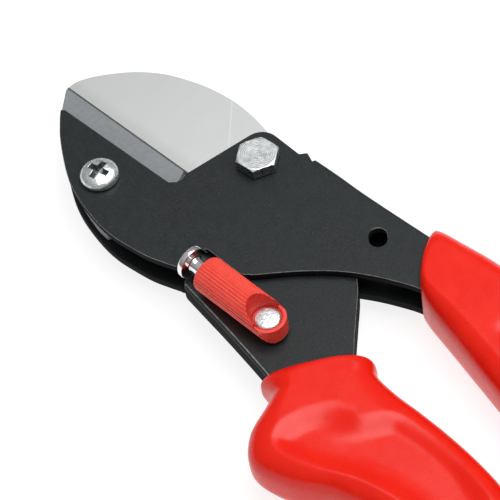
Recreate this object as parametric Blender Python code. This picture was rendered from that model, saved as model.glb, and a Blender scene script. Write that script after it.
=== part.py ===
"""Anvil pruner, closed and latched, lying flat with its front cheek up.

Two levers cross at a hex bolt. The anvil lever is a folded steel channel that carries a plastic
anvil; the blade lever is a narrower channel that runs between its cheeks and carries the blade.
Lengths are millimetres from the pivot's axis and from the tool's mid-plane; MM makes them metres.
+X runs from the jaws to the grips, +Z is the plates' normal, and the world origin lies under the
middle of the tool, at the level of its lowest point.
"""
import math

import bmesh
import bpy
from mathutils import Matrix, Vector

MM = 0.001

# Where the world origin is, measured from the pivot's axis and the mid-plane
CENTRE_X = 44.56
CENTRE_Y = -5.483
LOWEST_Z = -10.4

FIT = 0.3               # gap between pieces that touch

# Anvil lever: one folded sheet
SHEET_A = 2.0
INNER_A = 3.4           # half the space between its cheeks
HALF_A = INNER_A + SHEET_A
FOLD_A = 1.7            # outer radius of the fold
TANG_END_A = 133.6

# Blade lever: one folded sheet that runs between the anvil lever's cheeks
SHEET_B = 1.8
HALF_B = INNER_A - FIT
INNER_B = HALF_B - SHEET_B
FOLD_B = 1.3
TANG_END_B = 133.6

# Blade and anvil
BLADE_HALF = 1.0
# (rise from the cutting line, height) of what the two grinds cut away, front and rear
EDGE_CUTS = (((-1.0, -0.15), (1.8, 1.65), (-1.0, 3.0)), ((-1.0, 0.73), (5.2, -1.33), (-1.0, -3.0)))
JAW_SLOPE = math.radians(14.0)
HEEL = (-10.8, -15.7)    # inner end of the cutting line
JAW_LENGTH = 46.2

# Pivot: M6 bolt, 10 mm across the flats
BOLT_RADIUS = 3.0
HEX_FLATS = 10.0
HEX_HEIGHT = 3.1
HEX_TURN = math.radians(18)
BUSH_RADIUS = 4.2
PIVOT_WASHER = (6.0, 0.8)       # radius, thickness
PIVOT_NUT = (10.0, 3.2)         # across the flats, height

# Anvil screw: M5 pan head
SCREW_AT = (-20.2, -35.0)
SCREW_RADIUS = 2.5
SCREW_HEAD = (5.0, 3.2)         # radius, height
SCREW_WASHER = (5.0, 0.8)       # radius, thickness
SCREW_NUT = (8.0, 3.2)          # across the flats, height

BLADE_RIVETS = ((11.1, -1.8), (11.1, -10.8))
BLADE_RIVET_RADIUS = 2.0

# Return spring, between the two levers' channels
SPRING_TOP = (26.0, 13.7)
SPRING_BOTTOM = (27.6, 5.9)
SPRING_RADIUS = 2.3             # of the coil's centre line
SPRING_WIRE = 0.8
SPRING_TURNS = 5.5
SEAT_RADIUS = 3.0
SEAT_THICK = 1.0

# Latch: a sleeve on a rivet, with a headed pin that stands in the notch of the anvil lever
LATCH_RIVET = (44.7, -24.2)
LATCH_ANGLE = math.radians(193.5)
LATCH_AXIS_Z = 8.1
SLEEVE_RADIUS = 4.7
SLEEVE_MOUTH = 21.3
SLEEVE_FLAT_Z = 4.2
SPOT_FACE = (5.2, 8.0)          # radius, height of its floor
LATCH_PIN_RADIUS = 1.9
LATCH_PIN_START = 12.0
LATCH_DISC = (4.4, 25.7, 27.5)  # radius, inner face, outer face
LATCH_RIVET_RADIUS = 2.0
LATCH_RIVET_HEAD = (3.35, 1.2)
LATCH_WASHER = (3.2, 0.5)

# Grips
GRIP_HALF = 9.0                 # half their thickness
GRIP_FLAT = 8.4                 # half the distance between their flat faces
GRIP_POCKET = 0.3

HOLE_AT = (38.0, 11.3)
HOLE_RADIUS = 2.3
HOLE_STRETCH = 0.55      # half the distance between the centres of its two round ends
HOLE_ANGLE = math.radians(153)


def clear_scene():
    for item in list(bpy.data.objects):
        bpy.data.objects.remove(item, do_unlink=True)


# ---------------------------------------------------------------- outlines

def smooth(points, steps=5):
    """Points along a smooth curve through the given points, both ends included."""
    curve = []
    for i in range(len(points) - 1):
        before = Vector(points[max(i - 1, 0)])
        start = Vector(points[i])
        end = Vector(points[i + 1])
        after = Vector(points[min(i + 2, len(points) - 1)])
        for k in range(steps):
            t = k / steps
            curve.append(0.5 * ((2 * start) + (end - before) * t
                                + (2 * before - 5 * start + 4 * end - after) * t ** 2
                                + (3 * start - before - 3 * end + after) * t ** 3))
    curve.append(Vector(points[-1]))
    return [(p.x, p.y) for p in curve]


def rounded(corners, segments=4):
    """Closed outline through (x, y) points; a third number rounds that corner to a radius."""
    outline = []
    count = len(corners)
    for i, corner in enumerate(corners):
        here = Vector(corner[:2])
        radius = corner[2] if len(corner) > 2 else 0.0
        if radius == 0.0:
            outline.append((here.x, here.y))
            continue
        back = (Vector(corners[i - 1][:2]) - here).normalized()
        ahead = (Vector(corners[(i + 1) % count][:2]) - here).normalized()
        half_angle = back.angle(ahead) / 2
        middle = here + (back + ahead).normalized() * (radius / math.sin(half_angle))
        first = here + back * (radius / math.tan(half_angle)) - middle
        last = here + ahead * (radius / math.tan(half_angle)) - middle
        for k in range(segments + 1):
            step = first.lerp(last, k / segments).normalized() * radius
            outline.append((middle.x + step.x, middle.y + step.y))
    return outline


def shifted(path, distance):
    """An open path moved sideways, to its left where distance is positive."""
    result = []
    for i, point in enumerate(path):
        before = Vector(path[max(i - 1, 0)])
        after = Vector(path[min(i + 1, len(path) - 1)])
        along = (after - before).normalized()
        result.append((point[0] - along.y * distance, point[1] + along.x * distance))
    return result


def circle(x, y, radius, count=24):
    turn = 2 * math.pi / count
    return [(x + radius * math.cos(turn * k), y + radius * math.sin(turn * k)) for k in range(count)]


def hexagon(x, y, flats):
    return circle(x, y, flats / math.sqrt(3), 6)


# ---------------------------------------------------------------- meshes

def prism(outline, low, high):
    """A closed solid: the outline, from one height to the other."""
    shape = bmesh.new()
    base = shape.faces.new([shape.verts.new((x, y, low)) for x, y in outline])
    grown = bmesh.ops.extrude_face_region(shape, geom=[base])
    top = [v for v in grown["geom"] if isinstance(v, bmesh.types.BMVert)]
    bmesh.ops.translate(shape, verts=top, vec=(0, 0, high - low))
    bmesh.ops.recalc_face_normals(shape, faces=shape.faces[:])
    return shape


def skin(rings):
    """A closed solid over rings of points, with a flat cap on the first and the last."""
    shape = bmesh.new()
    loops = [[shape.verts.new(p) for p in ring] for ring in rings]
    count = len(loops[0])
    for one, two in zip(loops, loops[1:]):
        for k in range(count):
            shape.faces.new((one[k], one[(k + 1) % count], two[(k + 1) % count], two[k]))
    shape.faces.new(loops[0][::-1])
    shape.faces.new(loops[-1])
    bmesh.ops.recalc_face_normals(shape, faces=shape.faces[:])
    return shape


def turned(profile, count=24):
    """A solid turned about Z from (radius, height) points that run from one end to the other."""
    return skin([[(x, y, height) for x, y in circle(0, 0, radius, count)] for radius, height in profile])


def tube(inner, outer, low, high, count=24):
    """A ring with a square section about Z."""
    shape = bmesh.new()
    corners = ((inner, low), (outer, low), (outer, high), (inner, high))
    loops = [[shape.verts.new((x, y, z)) for x, y in circle(0, 0, r, count)] for r, z in corners]
    for one, two in zip(loops, loops[1:] + loops[:1]):
        for k in range(count):
            shape.faces.new((one[k], one[(k + 1) % count], two[(k + 1) % count], two[k]))
    bmesh.ops.recalc_face_normals(shape, faces=shape.faces[:])
    return shape


def moved(shape, x=0.0, y=0.0, z=0.0):
    bmesh.ops.translate(shape, verts=shape.verts, vec=(x, y, z))
    return shape


def along_x(shape):
    """Turns a shape made about Z so that its +Z runs along +X."""
    bmesh.ops.rotate(shape, verts=shape.verts, matrix=Matrix.Rotation(math.pi / 2, 3, "Y"))
    return shape


def round_edges(shape, chosen, radius, segments=3):
    """Rounds the level edges whose two ends are both chosen."""
    edges = []
    for edge in shape.edges:
        one, two = (v.co for v in edge.verts)
        if abs(one.z - two.z) < 0.01 and chosen(one) and chosen(two):
            edges.append(edge)
    bmesh.ops.bevel(shape, geom=edges, offset=radius, segments=segments, profile=0.5,
                    affect="EDGES", clamp_overlap=False)
    return shape


def near_path(path, height):
    """Tells whether a point lies on a path's points at plus or minus a height."""
    def test(co):
        on_level = abs(abs(co.z) - height) < 0.01
        return on_level and any((co.x - x) ** 2 + (co.y - y) ** 2 < 0.0004 for x, y in path)
    return test


# ---------------------------------------------------------------- objects

def material(name, colour, roughness, metallic=0.0):
    made = bpy.data.materials.new(name)
    made.use_nodes = True
    shader = made.node_tree.nodes["Principled BSDF"]
    shader.inputs["Base Color"].default_value = (*colour, 1.0)
    shader.inputs["Roughness"].default_value = roughness
    shader.inputs["Metallic"].default_value = metallic
    made.diffuse_color = (*colour, 1.0)
    return made


def place(name, shape, parent, finish=None):
    """Makes an object of a mesh drawn in millimetres, held by one of the empties."""
    bmesh.ops.scale(shape, verts=shape.verts, vec=(MM, MM, MM))
    mesh = bpy.data.meshes.new(name)
    shape.to_mesh(mesh)
    shape.free()
    mesh.shade_smooth()
    mesh.set_sharp_from_angle(angle=math.radians(35))
    item = bpy.data.objects.new(name, mesh)
    bpy.context.scene.collection.objects.link(item)
    item.parent = parent
    if finish is not None:
        mesh.materials.append(finish)
    return item


def boolean(target, shape, name, operation="DIFFERENCE"):
    """Cuts the target with a shape, which stays in the scene as a wire guide."""
    guide = place(name, shape, target.parent)
    guide.hide_render = True
    guide.display_type = "WIRE"
    step = target.modifiers.new(name, "BOOLEAN")
    step.operation = operation
    step.object = guide
    return guide


def drill(target, at, radius, low, high, name):
    boolean(target, moved(prism(circle(0, 0, radius), low, high), *at), name)


def hinge_empty(name, x, y, z, parent=None, angle=0.0):
    empty = bpy.data.objects.new(name, None)
    empty.empty_display_size = 0.01
    empty.location = (x * MM, y * MM, z * MM)
    empty.rotation_euler = (0.0, 0.0, angle)
    empty.parent = parent
    bpy.context.scene.collection.objects.link(empty)
    return empty


# ---------------------------------------------------------------- anvil side

SPINE_A = [(4.8, 11.6)] + smooth([(7.6, 12.3), (15.6, 14.3), (25.6, 16.6), (45.0, 21.8), (57.6, 25.3),
                                  (71.6, 28.1), (87.6, 29.7), (109.6, 29.3), (TANG_END_A, 25.7)], 4)
BELLY_A = smooth([(-46.5, -32.6), (-44.4, -33.9), (-41.8, -35.5), (-38.4, -37.2), (-32.7, -39.5), (-26.4, -41.45), (-20.4, -42.6),
                  (-14.4, -42.95), (-7.4, -42.65), (-2.1, -41.75), (2.3, -40.35), (8.6, -37.9),
                  (13.3, -35.25), (16.2, -33.4)], 3)
THROAT_A = smooth([(29.9, -18.9), (33.1, -13.3), (36.4, -8.1), (41.0, -2.05), (46.0, 2.9), (51.1, 7.0),
                   (57.1, 10.9), (63.6, 12.9), (77.6, 13.6), (105.6, 13.9), (TANG_END_A, 13.3)], 3)


def anvil_lever_outline():
    """The cheek: belly, latch notch, throat, tang, spine, pivot corner and jaw edge, in turn."""
    corners = [(-45.7, -31.5, 0.4)]
    corners += BELLY_A[:-1]
    corners += [(16.2, -33.4, 0.5), (15.2, -24.7, 1.4), (27.6, -21.8, 2.2)]
    corners += THROAT_A
    corners += SPINE_A[::-1]
    corners += [(3.8, 9.7), (-9.3, 7.2, 5.0), (-8.0, -16.7, 0.6), (-6.7, -19.3, 1.6), (-8.3, -21.7, 0.8)]
    return rounded(corners)


def hole_outline():
    """A round hole stretched a little along its own direction."""
    half_turn = math.pi / 10
    outline = []
    for end in (0, 1):
        turn = HOLE_ANGLE + math.pi * end
        for k in range(10 + 1):
            angle = turn - math.pi / 2 + half_turn * k
            outline.append((HOLE_AT[0] + HOLE_STRETCH * math.cos(turn) + HOLE_RADIUS * math.cos(angle),
                            HOLE_AT[1] + HOLE_STRETCH * math.sin(turn) + HOLE_RADIUS * math.sin(angle)))
    return outline


def anvil_lever(parent, finish):
    shape = prism(anvil_lever_outline(), -HALF_A, HALF_A)
    round_edges(shape, near_path(SPINE_A[1:], HALF_A), FOLD_A)
    lever = place("anvil_lever", shape, parent, finish)
    inner_spine = shifted(SPINE_A[1:], -SHEET_A)
    slot = [(-60.0, -60.0), (150.0, -60.0), (150.0, inner_spine[-1][1])] + inner_spine[::-1]
    slot += [(3.9, 8.3), (3.9, 30.0), (-60.0, 30.0)]
    boolean(lever, prism(slot, -INNER_A, INNER_A), "cut_anvil_lever_slot")
    drill(lever, (0.0, 0.0), BOLT_RADIUS + FIT, -20, 20, "cut_anvil_lever_pivot")
    drill(lever, SCREW_AT, SCREW_RADIUS + FIT, -20, 20, "cut_anvil_lever_screw")
    boolean(lever, prism(hole_outline(), 0, 20), "cut_anvil_lever_hole")
    return lever


def on_jaw_line(distance, drop=0.0):
    """A point on the cutting line, measured from its heel, and a drop square to it."""
    along = Vector((-math.cos(JAW_SLOPE), -math.sin(JAW_SLOPE)))
    down = Vector((math.sin(JAW_SLOPE), -math.cos(JAW_SLOPE)))
    point = Vector(HEEL) + along * distance + down * drop
    return (point.x, point.y)


def anvil(parent, finish):
    """The pad stands proud of the jaw edge, and its body fills the space between the cheeks."""
    corners = [(*on_jaw_line(0.3, FIT), 0.4), (*on_jaw_line(JAW_LENGTH - 1.2, FIT), 0.5),
               (-48.4, -31.5, 0.8), (-45.8, -33.3, 0.8)]
    corners += smooth([(-38.4, -36.1), (-26.4, -40.3), (-19.8, -41.5), (-13.6, -41.8), (-10.4, -41.7)], 3)
    corners += [(-7.4, -41.2, 0.8), (-9.8, -17.9, 1.0)]
    body = place("anvil", prism(rounded(corners[::-1]), -HALF_B, HALF_B), parent, finish)
    drill(body, SCREW_AT, SCREW_RADIUS + FIT, -20, 20, "cut_anvil_screw")
    return body


def cross_outline(arm, half_width):
    corners = [(arm, half_width), (half_width, half_width), (half_width, arm)]
    outline = []
    for quarter in range(4):
        turn = Matrix.Rotation(quarter * math.pi / 2, 2)
        outline += [tuple(turn @ Vector(c)) for c in corners]
    return outline


def anvil_screw(parent, finish):
    seat = HALF_A + FIT
    radius, height = SCREW_HEAD
    profile = [(SCREW_RADIUS, LOWEST_Z), (SCREW_RADIUS, seat), (radius, seat), (radius, seat + 0.35 * height),
               (0.88 * radius, seat + 0.72 * height), (0.6 * radius, seat + 0.93 * height),
               (0.25 * radius, seat + height)]
    screw = place("anvil_screw", moved(turned(profile), *SCREW_AT), parent, finish)
    recess = moved(prism(cross_outline(2.7, 0.75), seat + height - 2.0, seat + height + 2.0), *SCREW_AT)
    bmesh.ops.rotate(recess, verts=recess.verts, cent=(*SCREW_AT, 0.0),
                     matrix=Matrix.Rotation(math.radians(25), 3, "Z"))
    boolean(screw, recess, "cut_screw_recess")
    return screw


def rear_washer(name, at, bolt_radius, size, parent, finish):
    """A flat washer against the rear cheek."""
    radius, thick = size
    top = -HALF_A - FIT
    return place(name, moved(tube(bolt_radius + FIT, radius, top - thick, top), *at), parent, finish)


def hex_nut(name, at, size, bolt_radius, washer, parent, finish):
    """A thin nut on its washer, behind the rear cheek."""
    flats, height = size
    top = -HALF_A - FIT - washer[1] - FIT
    nut = place(name, moved(prism(hexagon(0, 0, flats), top - height, top), *at), parent, finish)
    drill(nut, at, bolt_radius + FIT, top - height - 5, top + 5, "cut_" + name)
    return nut


def pivot_bolt(parent, finish):
    seat = HALF_A + FIT
    head = prism(hexagon(0, 0, HEX_FLATS), seat, seat + HEX_HEIGHT)
    bmesh.ops.rotate(head, verts=head.verts, matrix=Matrix.Rotation(HEX_TURN, 3, "Z"))
    round_edges(head, lambda co: co.z > seat + 1, 0.5, 1)
    bolt = place("pivot_bolt", head, parent, finish)
    shank = prism(circle(0, 0, BOLT_RADIUS), LOWEST_Z, seat + 1.0)
    boolean(bolt, shank, "join_bolt_shank", "UNION")
    return bolt


def spring_axis():
    top = Vector((*SPRING_TOP, 0.0))
    bottom = Vector((*SPRING_BOTTOM, 0.0))
    return top, bottom, (bottom - top).normalized()


def stand_on(shape, origin, direction):
    """Moves a shape made about Z from its origin so that its +Z runs in the given direction."""
    turn = Vector((0, 0, 1)).rotation_difference(direction).to_matrix()
    bmesh.ops.rotate(shape, verts=shape.verts, matrix=turn)
    bmesh.ops.translate(shape, verts=shape.verts, vec=origin)
    return shape


def return_spring(parent, finish):
    """A wire helix, drawn as a skin of six-sided rings."""
    top, bottom, along = spring_axis()
    length = (bottom - top).length - 2 * (SEAT_THICK + FIT) - SPRING_WIRE
    per_turn = 12
    rings = []
    total = int(SPRING_TURNS * per_turn)
    for k in range(total + 1):
        angle = 2 * math.pi * k / per_turn
        out = Vector((math.cos(angle), math.sin(angle), 0.0))
        centre = out * SPRING_RADIUS + Vector((0, 0, length * k / total))
        ring = []
        for side in range(6):
            around = 2 * math.pi * side / 6
            ring.append(centre + out * (math.cos(around) * SPRING_WIRE / 2)
                        + Vector((0, 0, math.sin(around) * SPRING_WIRE / 2)))
        rings.append(ring)
    start = top + along * (SEAT_THICK + FIT + SPRING_WIRE / 2)
    return place("return_spring", stand_on(skin(rings), start, along), parent, finish)


def spring_seat(name, origin, direction, parent, finish):
    """A disc with a peg that keeps the coil centred."""
    profile = [(SEAT_RADIUS, 0.0), (SEAT_RADIUS, SEAT_THICK), (1.3, SEAT_THICK), (1.1, SEAT_THICK + 1.6)]
    shape = stand_on(turned(profile, 20), origin, direction)
    return place(name, shape, parent, finish)


# ---------------------------------------------------------------- blade side

SPINE_B = smooth([(20.6, -34.4), (28.6, -33.7), (37.6, -32.9), (47.6, -32.2), (55.6, -31.8), (65.6, -31.6),
                  (79.6, -28.9), (97.6, -25.9), (115.6, -24.5), (TANG_END_B, -23.9)], 4)
TOP_B = smooth([(TANG_END_B, -10.1), (109.6, -9.1), (87.6, -10.5), (73.6, -12.9), (65.6, -13.1),
                (60.1, -10.0), (53.4, -5.2), (45.2, 0.5), (37.6, 3.0), (27.6, 4.1), (13.6, 5.3),
                (3.5, 6.0)], 3)
BACK_B = smooth([(-6.2, -1.6), (-6.6, -5.7), (-5.0, -11.7), (-0.6, -17.9), (8.6, -26.5), (18.0, -32.3)], 3)
PIVOT_B = 6.3


def blade_lever_outline():
    around = [(PIVOT_B * math.cos(a), PIVOT_B * math.sin(a))
              for a in (math.radians(70 + 115 * k / 9) for k in range(1, 10))]
    return SPINE_B + TOP_B + around + BACK_B


def blade_lever(parent, finish):
    shape = prism(blade_lever_outline(), -HALF_B, HALF_B)
    round_edges(shape, near_path(SPINE_B, HALF_B), FOLD_B)
    lever = place("blade_lever", shape, parent, finish)
    inner_spine = shifted(SPINE_B, SHEET_B)
    slot = [(-20.0, -60.0), (inner_spine[0][0] - 1.0, -60.0)] + inner_spine
    slot += [(150.0, inner_spine[-1][1]), (150.0, 30.0), (-20.0, 30.0)]
    boolean(lever, prism(slot, -INNER_B, INNER_B), "cut_blade_lever_slot")
    drill(lever, (0.0, 0.0), BUSH_RADIUS + FIT, -20, 20, "cut_blade_lever_pivot")
    for number, at in enumerate(BLADE_RIVETS, 1):
        drill(lever, at, BLADE_RIVET_RADIUS + FIT, -20, 20, f"cut_blade_lever_rivet_{number}")
    drill(lever, LATCH_RIVET, LATCH_RIVET_RADIUS + FIT, -20, 20, "cut_blade_lever_latch")
    return lever


def blade_outline():
    """Half-moon back, pivot ring and tang, closed by the straight cutting line."""
    tip = on_jaw_line(JAW_LENGTH)
    back = smooth([(-56.15, -24.3), (-56.05, -22.0), (-54.3, -16.95), (-49.95, -9.25), (-44.45, -3.2),
                   (-38.1, 1.2), (-32.2, 4.3), (-24.75, 6.9), (-16.85, 8.25), (-9.4, 8.45), (-2.4, 7.6),
                   (5.6, 5.3), (13.6, 3.1)], 4)
    corners = [(*HEEL, 0.0), (-0.4, -14.9), (16.6, -14.3, 2.0), (16.6, 2.3, 1.5)]
    corners += back[::-1]
    corners += [(*tip, 0.3)]
    return rounded(corners)


def blade(parent, finish):
    piece = place("blade", prism(blade_outline(), -BLADE_HALF, BLADE_HALF), parent, finish)
    drill(piece, (0.0, 0.0), BUSH_RADIUS + FIT, -20, 20, "cut_blade_pivot")
    for number, at in enumerate(BLADE_RIVETS, 1):
        drill(piece, at, BLADE_RIVET_RADIUS + FIT, -20, 20, f"cut_blade_rivet_{number}")
    for wedge, name in zip(EDGE_CUTS, ("cut_edge_front", "cut_edge_rear")):
        rings = [[(*on_jaw_line(distance, -rise), z) for rise, z in wedge]
                 for distance in (-1.0, JAW_LENGTH + 6.0)]
        boolean(piece, skin(rings), name)
    return piece


def latch_rivet(parent, finish):
    """Headed on the sleeve and closed over behind the blade lever."""
    radius, height = LATCH_RIVET_HEAD
    seat = SPOT_FACE[1] + FIT
    tail = -HALF_B - FIT
    profile = [(2.2, tail - 1.3), (3.2, tail - 0.8), (3.2, tail), (LATCH_RIVET_RADIUS, tail),
               (LATCH_RIVET_RADIUS, seat), (radius, seat), (radius, seat + 0.35), (0.8 * radius, seat + 0.8),
               (0.3 * radius, seat + height)]
    return place("latch_rivet", moved(turned(profile), *LATCH_RIVET), parent, finish)


def latch_washer(parent, finish):
    radius, thick = LATCH_WASHER
    low = HALF_B + FIT
    ring = tube(LATCH_RIVET_RADIUS + FIT, radius, low, low + thick)
    return place("latch_washer", moved(ring, *LATCH_RIVET), parent, finish)


# ---------------------------------------------------------------- latch

def latch_sleeve(parent, finish):
    """A round bar with a flat underside, one round end and a spot face for the rivet's head."""
    bar = along_x(turned([(SLEEVE_RADIUS, -7.5), (SLEEVE_RADIUS, SLEEVE_MOUTH - 0.6),
                          (SLEEVE_RADIUS - 0.6, SLEEVE_MOUTH)], 28))
    sleeve = place("latch_sleeve", moved(bar, z=LATCH_AXIS_Z), parent, finish)
    width = SLEEVE_RADIUS + 0.05
    end = [(-width * math.sin(a), width * math.cos(a))
           for a in (math.pi * k / 12 for k in range(13))]
    plan = prism(end + [(SLEEVE_MOUTH + 3, -width), (SLEEVE_MOUTH + 3, width)], SLEEVE_FLAT_Z, 20.0)
    boolean(sleeve, plan, "keep_sleeve_plan", "INTERSECT")
    radius, floor = SPOT_FACE
    boolean(sleeve, prism(circle(0, 0, radius), floor, 20.0), "cut_sleeve_spot_face")
    boolean(sleeve, prism(circle(0, 0, LATCH_RIVET_RADIUS + FIT), 0, 20), "cut_sleeve_rivet")
    bore = along_x(turned([(LATCH_PIN_RADIUS + FIT, LATCH_PIN_START - FIT),
                           (LATCH_PIN_RADIUS + FIT, SLEEVE_MOUTH + 5)], 20))
    boolean(sleeve, moved(bore, z=LATCH_AXIS_Z), "cut_sleeve_bore")
    return sleeve


def latch_pin(parent, finish):
    radius, inner, outer = LATCH_DISC
    neck = LATCH_PIN_RADIUS
    profile = [(neck, LATCH_PIN_START), (neck, inner), (radius - 0.4, inner), (radius, inner + 0.4),
               (radius, outer - 0.9), (radius - 0.5, outer - 0.35), (0.5 * radius, outer)]
    return place("latch_pin", moved(along_x(turned(profile)), z=LATCH_AXIS_Z), parent, finish)


# ---------------------------------------------------------------- grips

def grip_ring(low, high, half, count=20):
    """A section across the grip: a soft rectangle with its front and rear faces flattened."""
    centre = (Vector(low) + Vector(high)) / 2
    side = (Vector(high) - Vector(low)) / 2
    ring = []
    for k in range(count):
        angle = 2 * math.pi * k / count
        across = math.copysign(abs(math.cos(angle)) ** 0.62, math.cos(angle))
        rise = math.copysign(abs(math.sin(angle)) ** 0.62, math.sin(angle)) * half
        rise = max(-GRIP_FLAT, min(GRIP_FLAT, rise))
        point = centre + side * across
        ring.append((point.x, point.y, rise))
    return ring


def grip(name, low_edge, high_edge, rim_half, pocket, pocket_half, parent, finish):
    """A dipped sleeve: a swelling rim, a long body, a round end, and a pocket for the tang."""
    rings = []
    last = len(low_edge) - 1
    for k, (low, high) in enumerate(zip(low_edge, high_edge)):
        swell = min(k / 6, 1.0)
        half = rim_half + (GRIP_HALF - rim_half) * math.sin(swell * math.pi / 2)
        rings.append(grip_ring(low, high, half))
    low, high = Vector(low_edge[last]), Vector(high_edge[last])
    ahead = (low - Vector(low_edge[last - 1]) + high - Vector(high_edge[last - 1])).normalized()
    centre = (low + high) / 2
    for angle in (math.radians(a) for a in (30, 55, 75)):
        shrink = math.cos(angle) ** 0.8
        push = ahead * (math.sin(angle) * 6.0)
        rings.append(grip_ring(centre + (low - centre) * shrink + push,
                               centre + (high - centre) * shrink + push, GRIP_HALF * shrink))
    sleeve = place(name, skin(rings), parent, finish)
    boolean(sleeve, prism(pocket, -pocket_half, pocket_half), "cut_" + name)
    return sleeve


def grip_upper(parent, finish):
    low = smooth([(58.6, 10.1), (63.6, 9.6), (71.6, 9.4), (87.6, 9.1), (105.6, 8.9), (123.6, 8.7),
                  (140.1, 8.5)], 3)
    high = smooth([(43.4, 25.1), (51.0, 27.6), (63.6, 31.2), (81.6, 34.1), (100.6, 34.9), (121.6, 32.3),
                   (140.1, 27.3)], 3)
    spine = [p for p in SPINE_A if p[0] > 37.6]
    belly = [p for p in THROAT_A if p[0] > 44.6]
    pocket = shifted(belly, -GRIP_POCKET) + [(TANG_END_A + GRIP_POCKET, belly[-1][1] - GRIP_POCKET)]
    pocket += [(TANG_END_A + GRIP_POCKET, spine[-1][1] + GRIP_POCKET)] + shifted(spine, GRIP_POCKET)[::-1]
    return grip("grip_upper", low, high, 7.6, pocket, HALF_A + GRIP_POCKET, parent, finish)


def grip_lower(parent, finish):
    low = smooth([(55.9, -34.1), (61.3, -34.1), (63.9, -37.6), (68.1, -44.4), (75.0, -47.6), (84.6, -43.5),
                  (94.6, -35.7), (109.6, -29.7), (125.6, -27.9), (140.1, -27.1)], 3)
    high = smooth([(64.8, -11.3), (67.8, -9.1), (71.8, -10.5), (78.6, -9.6), (86.6, -7.6), (95.6, -5.8),
                   (105.6, -4.5), (115.6, -4.2), (127.6, -5.5), (140.1, -7.9)], 3)
    spine = [p for p in SPINE_B if p[0] > 45.6]
    top = [p for p in TOP_B if p[0] > 55.6]
    pocket = shifted(spine, -GRIP_POCKET) + [(TANG_END_B + GRIP_POCKET, spine[-1][1] - GRIP_POCKET)]
    pocket += [(TANG_END_B + GRIP_POCKET, top[0][1] + GRIP_POCKET)] + shifted(top, -GRIP_POCKET)
    return grip("grip_lower", low, high, 6.0, pocket, HALF_B + GRIP_POCKET, parent, finish)


# ---------------------------------------------------------------- assembly

def build():
    clear_scene()
    black = material("black_paint", (0.045, 0.05, 0.052), 0.5, 0.2)
    steel = material("blade_steel", (0.62, 0.63, 0.62), 0.4, 0.8)
    grey = material("anvil_plastic", (0.36, 0.38, 0.42), 0.55)
    zinc = material("zinc_plate", (0.7, 0.72, 0.72), 0.3, 1.0)
    chrome = material("chrome_plate", (0.85, 0.86, 0.86), 0.12, 1.0)
    red = material("red_pvc", (0.85, 0.03, 0.015), 0.25)
    latch_red = material("latch_plastic", (0.8, 0.035, 0.02), 0.4)
    nylon = material("black_nylon", (0.06, 0.06, 0.065), 0.6)

    root = hinge_empty("tool_root", -CENTRE_X, -CENTRE_Y, -LOWEST_Z)
    handle = hinge_empty("handle_hinge", 0, 0, 0, root)
    latch = hinge_empty("latch_hinge", *LATCH_RIVET, 0, handle, LATCH_ANGLE)

    anvil_lever(root, black)
    anvil(root, grey)
    anvil_screw(root, zinc)
    rear_washer("anvil_washer", SCREW_AT, SCREW_RADIUS, SCREW_WASHER, root, zinc)
    hex_nut("anvil_nut", SCREW_AT, SCREW_NUT, SCREW_RADIUS, SCREW_WASHER, root, zinc)
    pivot_bolt(root, zinc)
    place("pivot_bush", tube(BOLT_RADIUS + FIT, BUSH_RADIUS, -HALF_B, HALF_B), root, steel)
    rear_washer("pivot_washer", (0.0, 0.0), BOLT_RADIUS, PIVOT_WASHER, root, zinc)
    hex_nut("pivot_nut", (0.0, 0.0), PIVOT_NUT, BOLT_RADIUS, PIVOT_WASHER, root, zinc)
    top, bottom, along = spring_axis()
    spring_seat("spring_seat_upper", top, along, root, nylon)
    return_spring(root, steel)
    grip_upper(root, red)

    blade_lever(handle, black)
    blade(handle, steel)
    for number, at in enumerate(BLADE_RIVETS, 1):
        pin = moved(prism(circle(0, 0, BLADE_RIVET_RADIUS), -HALF_B, HALF_B), *at)
        place(f"blade_rivet_{number}", pin, handle, zinc)
    spring_seat("spring_seat_lower", bottom, -along, handle, nylon)
    latch_rivet(handle, zinc)
    latch_washer(handle, zinc)
    grip_lower(handle, red)

    latch_sleeve(latch, latch_red)
    latch_pin(latch, chrome)


build()
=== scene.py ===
"""The looks of the anvil pruner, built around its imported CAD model.

Pieces are drawn in millimetres from the pivot's axis and the tool's mid-plane, as in the CAD source,
and TOOL puts them in the frame. The latch's pieces are drawn from its rivet, with +X along its sleeve.
"""
import math

import bmesh
import bpy
from mathutils import Matrix, Quaternion, Vector


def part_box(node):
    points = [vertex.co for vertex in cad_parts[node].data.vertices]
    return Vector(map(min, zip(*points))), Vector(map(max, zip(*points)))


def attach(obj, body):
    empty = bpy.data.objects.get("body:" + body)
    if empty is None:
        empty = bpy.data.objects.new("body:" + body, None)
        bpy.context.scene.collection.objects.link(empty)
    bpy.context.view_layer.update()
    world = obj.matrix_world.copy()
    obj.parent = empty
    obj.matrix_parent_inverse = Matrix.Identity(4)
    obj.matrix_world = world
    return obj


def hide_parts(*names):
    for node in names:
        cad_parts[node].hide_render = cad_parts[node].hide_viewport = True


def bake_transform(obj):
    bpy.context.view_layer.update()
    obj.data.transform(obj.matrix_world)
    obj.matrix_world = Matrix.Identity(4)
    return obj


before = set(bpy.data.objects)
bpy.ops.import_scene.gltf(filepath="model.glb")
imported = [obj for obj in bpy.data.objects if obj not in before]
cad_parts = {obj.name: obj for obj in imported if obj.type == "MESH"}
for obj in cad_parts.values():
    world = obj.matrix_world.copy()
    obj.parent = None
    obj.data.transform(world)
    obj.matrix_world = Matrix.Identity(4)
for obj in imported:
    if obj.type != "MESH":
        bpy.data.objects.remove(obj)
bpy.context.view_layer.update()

MM = 0.001

# The pivot's bush is centred on the pivot's axis and on the tool's mid-plane
bush_low, bush_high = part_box("pivot_bush")
PIVOT = (bush_low + bush_high) / 2
TOOL = Matrix.Translation(PIVOT) @ Matrix.Scale(MM, 4)
LOWEST_Z = -PIVOT.z / MM

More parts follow.
